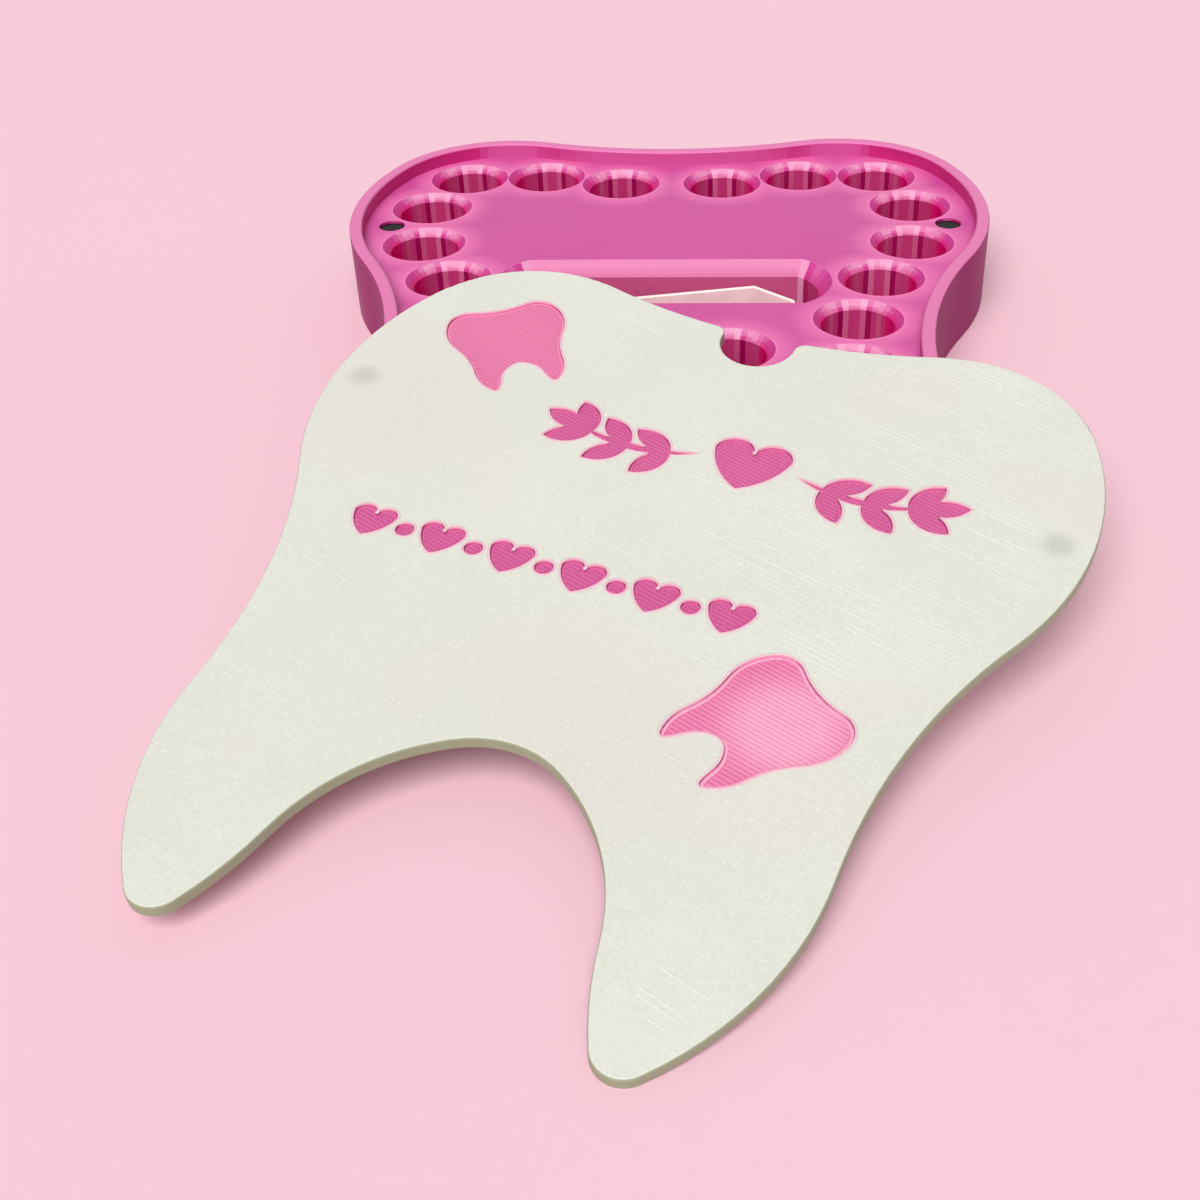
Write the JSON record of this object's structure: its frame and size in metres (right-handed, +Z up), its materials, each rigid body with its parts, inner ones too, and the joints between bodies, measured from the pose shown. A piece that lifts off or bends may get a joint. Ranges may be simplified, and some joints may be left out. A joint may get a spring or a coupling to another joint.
{
  "type": "baby tooth box",
  "caption": "Tooth-shaped keepsake box for milk teeth: pink printed tray with round pockets and a slot, white lid with pink inlays leaning on it, held shut by magnets.",
  "frame": {"origin": "middle of the tray's flat base, on the table", "axes": "+Z up, +Y towards the tray's crown, +X to the right seen from the roots"},
  "size_m": [0.1044, 0.1921, 0.021],
  "materials": {
    "silk_pink": "silky printed pink, with fine layer lines",
    "pearl_white": "pearly creamy white with fine sparkle",
    "inlay_pink": "silky printed pink, hatched",
    "magnet_metal": "dark plated, polished",
    "card_pale": "matt pale pink"
  },
  "bodies": {
    "tray": {"tray_body": "silk_pink", "tray_magnet_left": "magnet_metal", "tray_magnet_right": "magnet_metal"},
    "lid": {"lid_plate": "pearl_white", "lid_magnet_left": "magnet_metal", "lid_magnet_right": "magnet_metal", "tooth_inlay_upper": "inlay_pink", "tooth_inlay_lower": "inlay_pink", "heart_inlay": "inlay_pink", "leaf_sprig_left": "inlay_pink", "leaf_sprig_right": "inlay_pink", "heart_row_inlays": "inlay_pink", "dot_row_inlays": "inlay_pink"},
    "card": {"keepsake_card": "card_pale"}
  },
  "joints": [
    {"name": "lid_lift", "type": "slide", "parent": "tray", "child": "lid", "axis": [0, 0, 1], "range_m": [0, 0.06]},
    {"name": "card_lift", "type": "slide", "parent": "tray", "child": "card", "axis": [0, 0, 1], "range_m": [0, 0.025]}
  ]
}
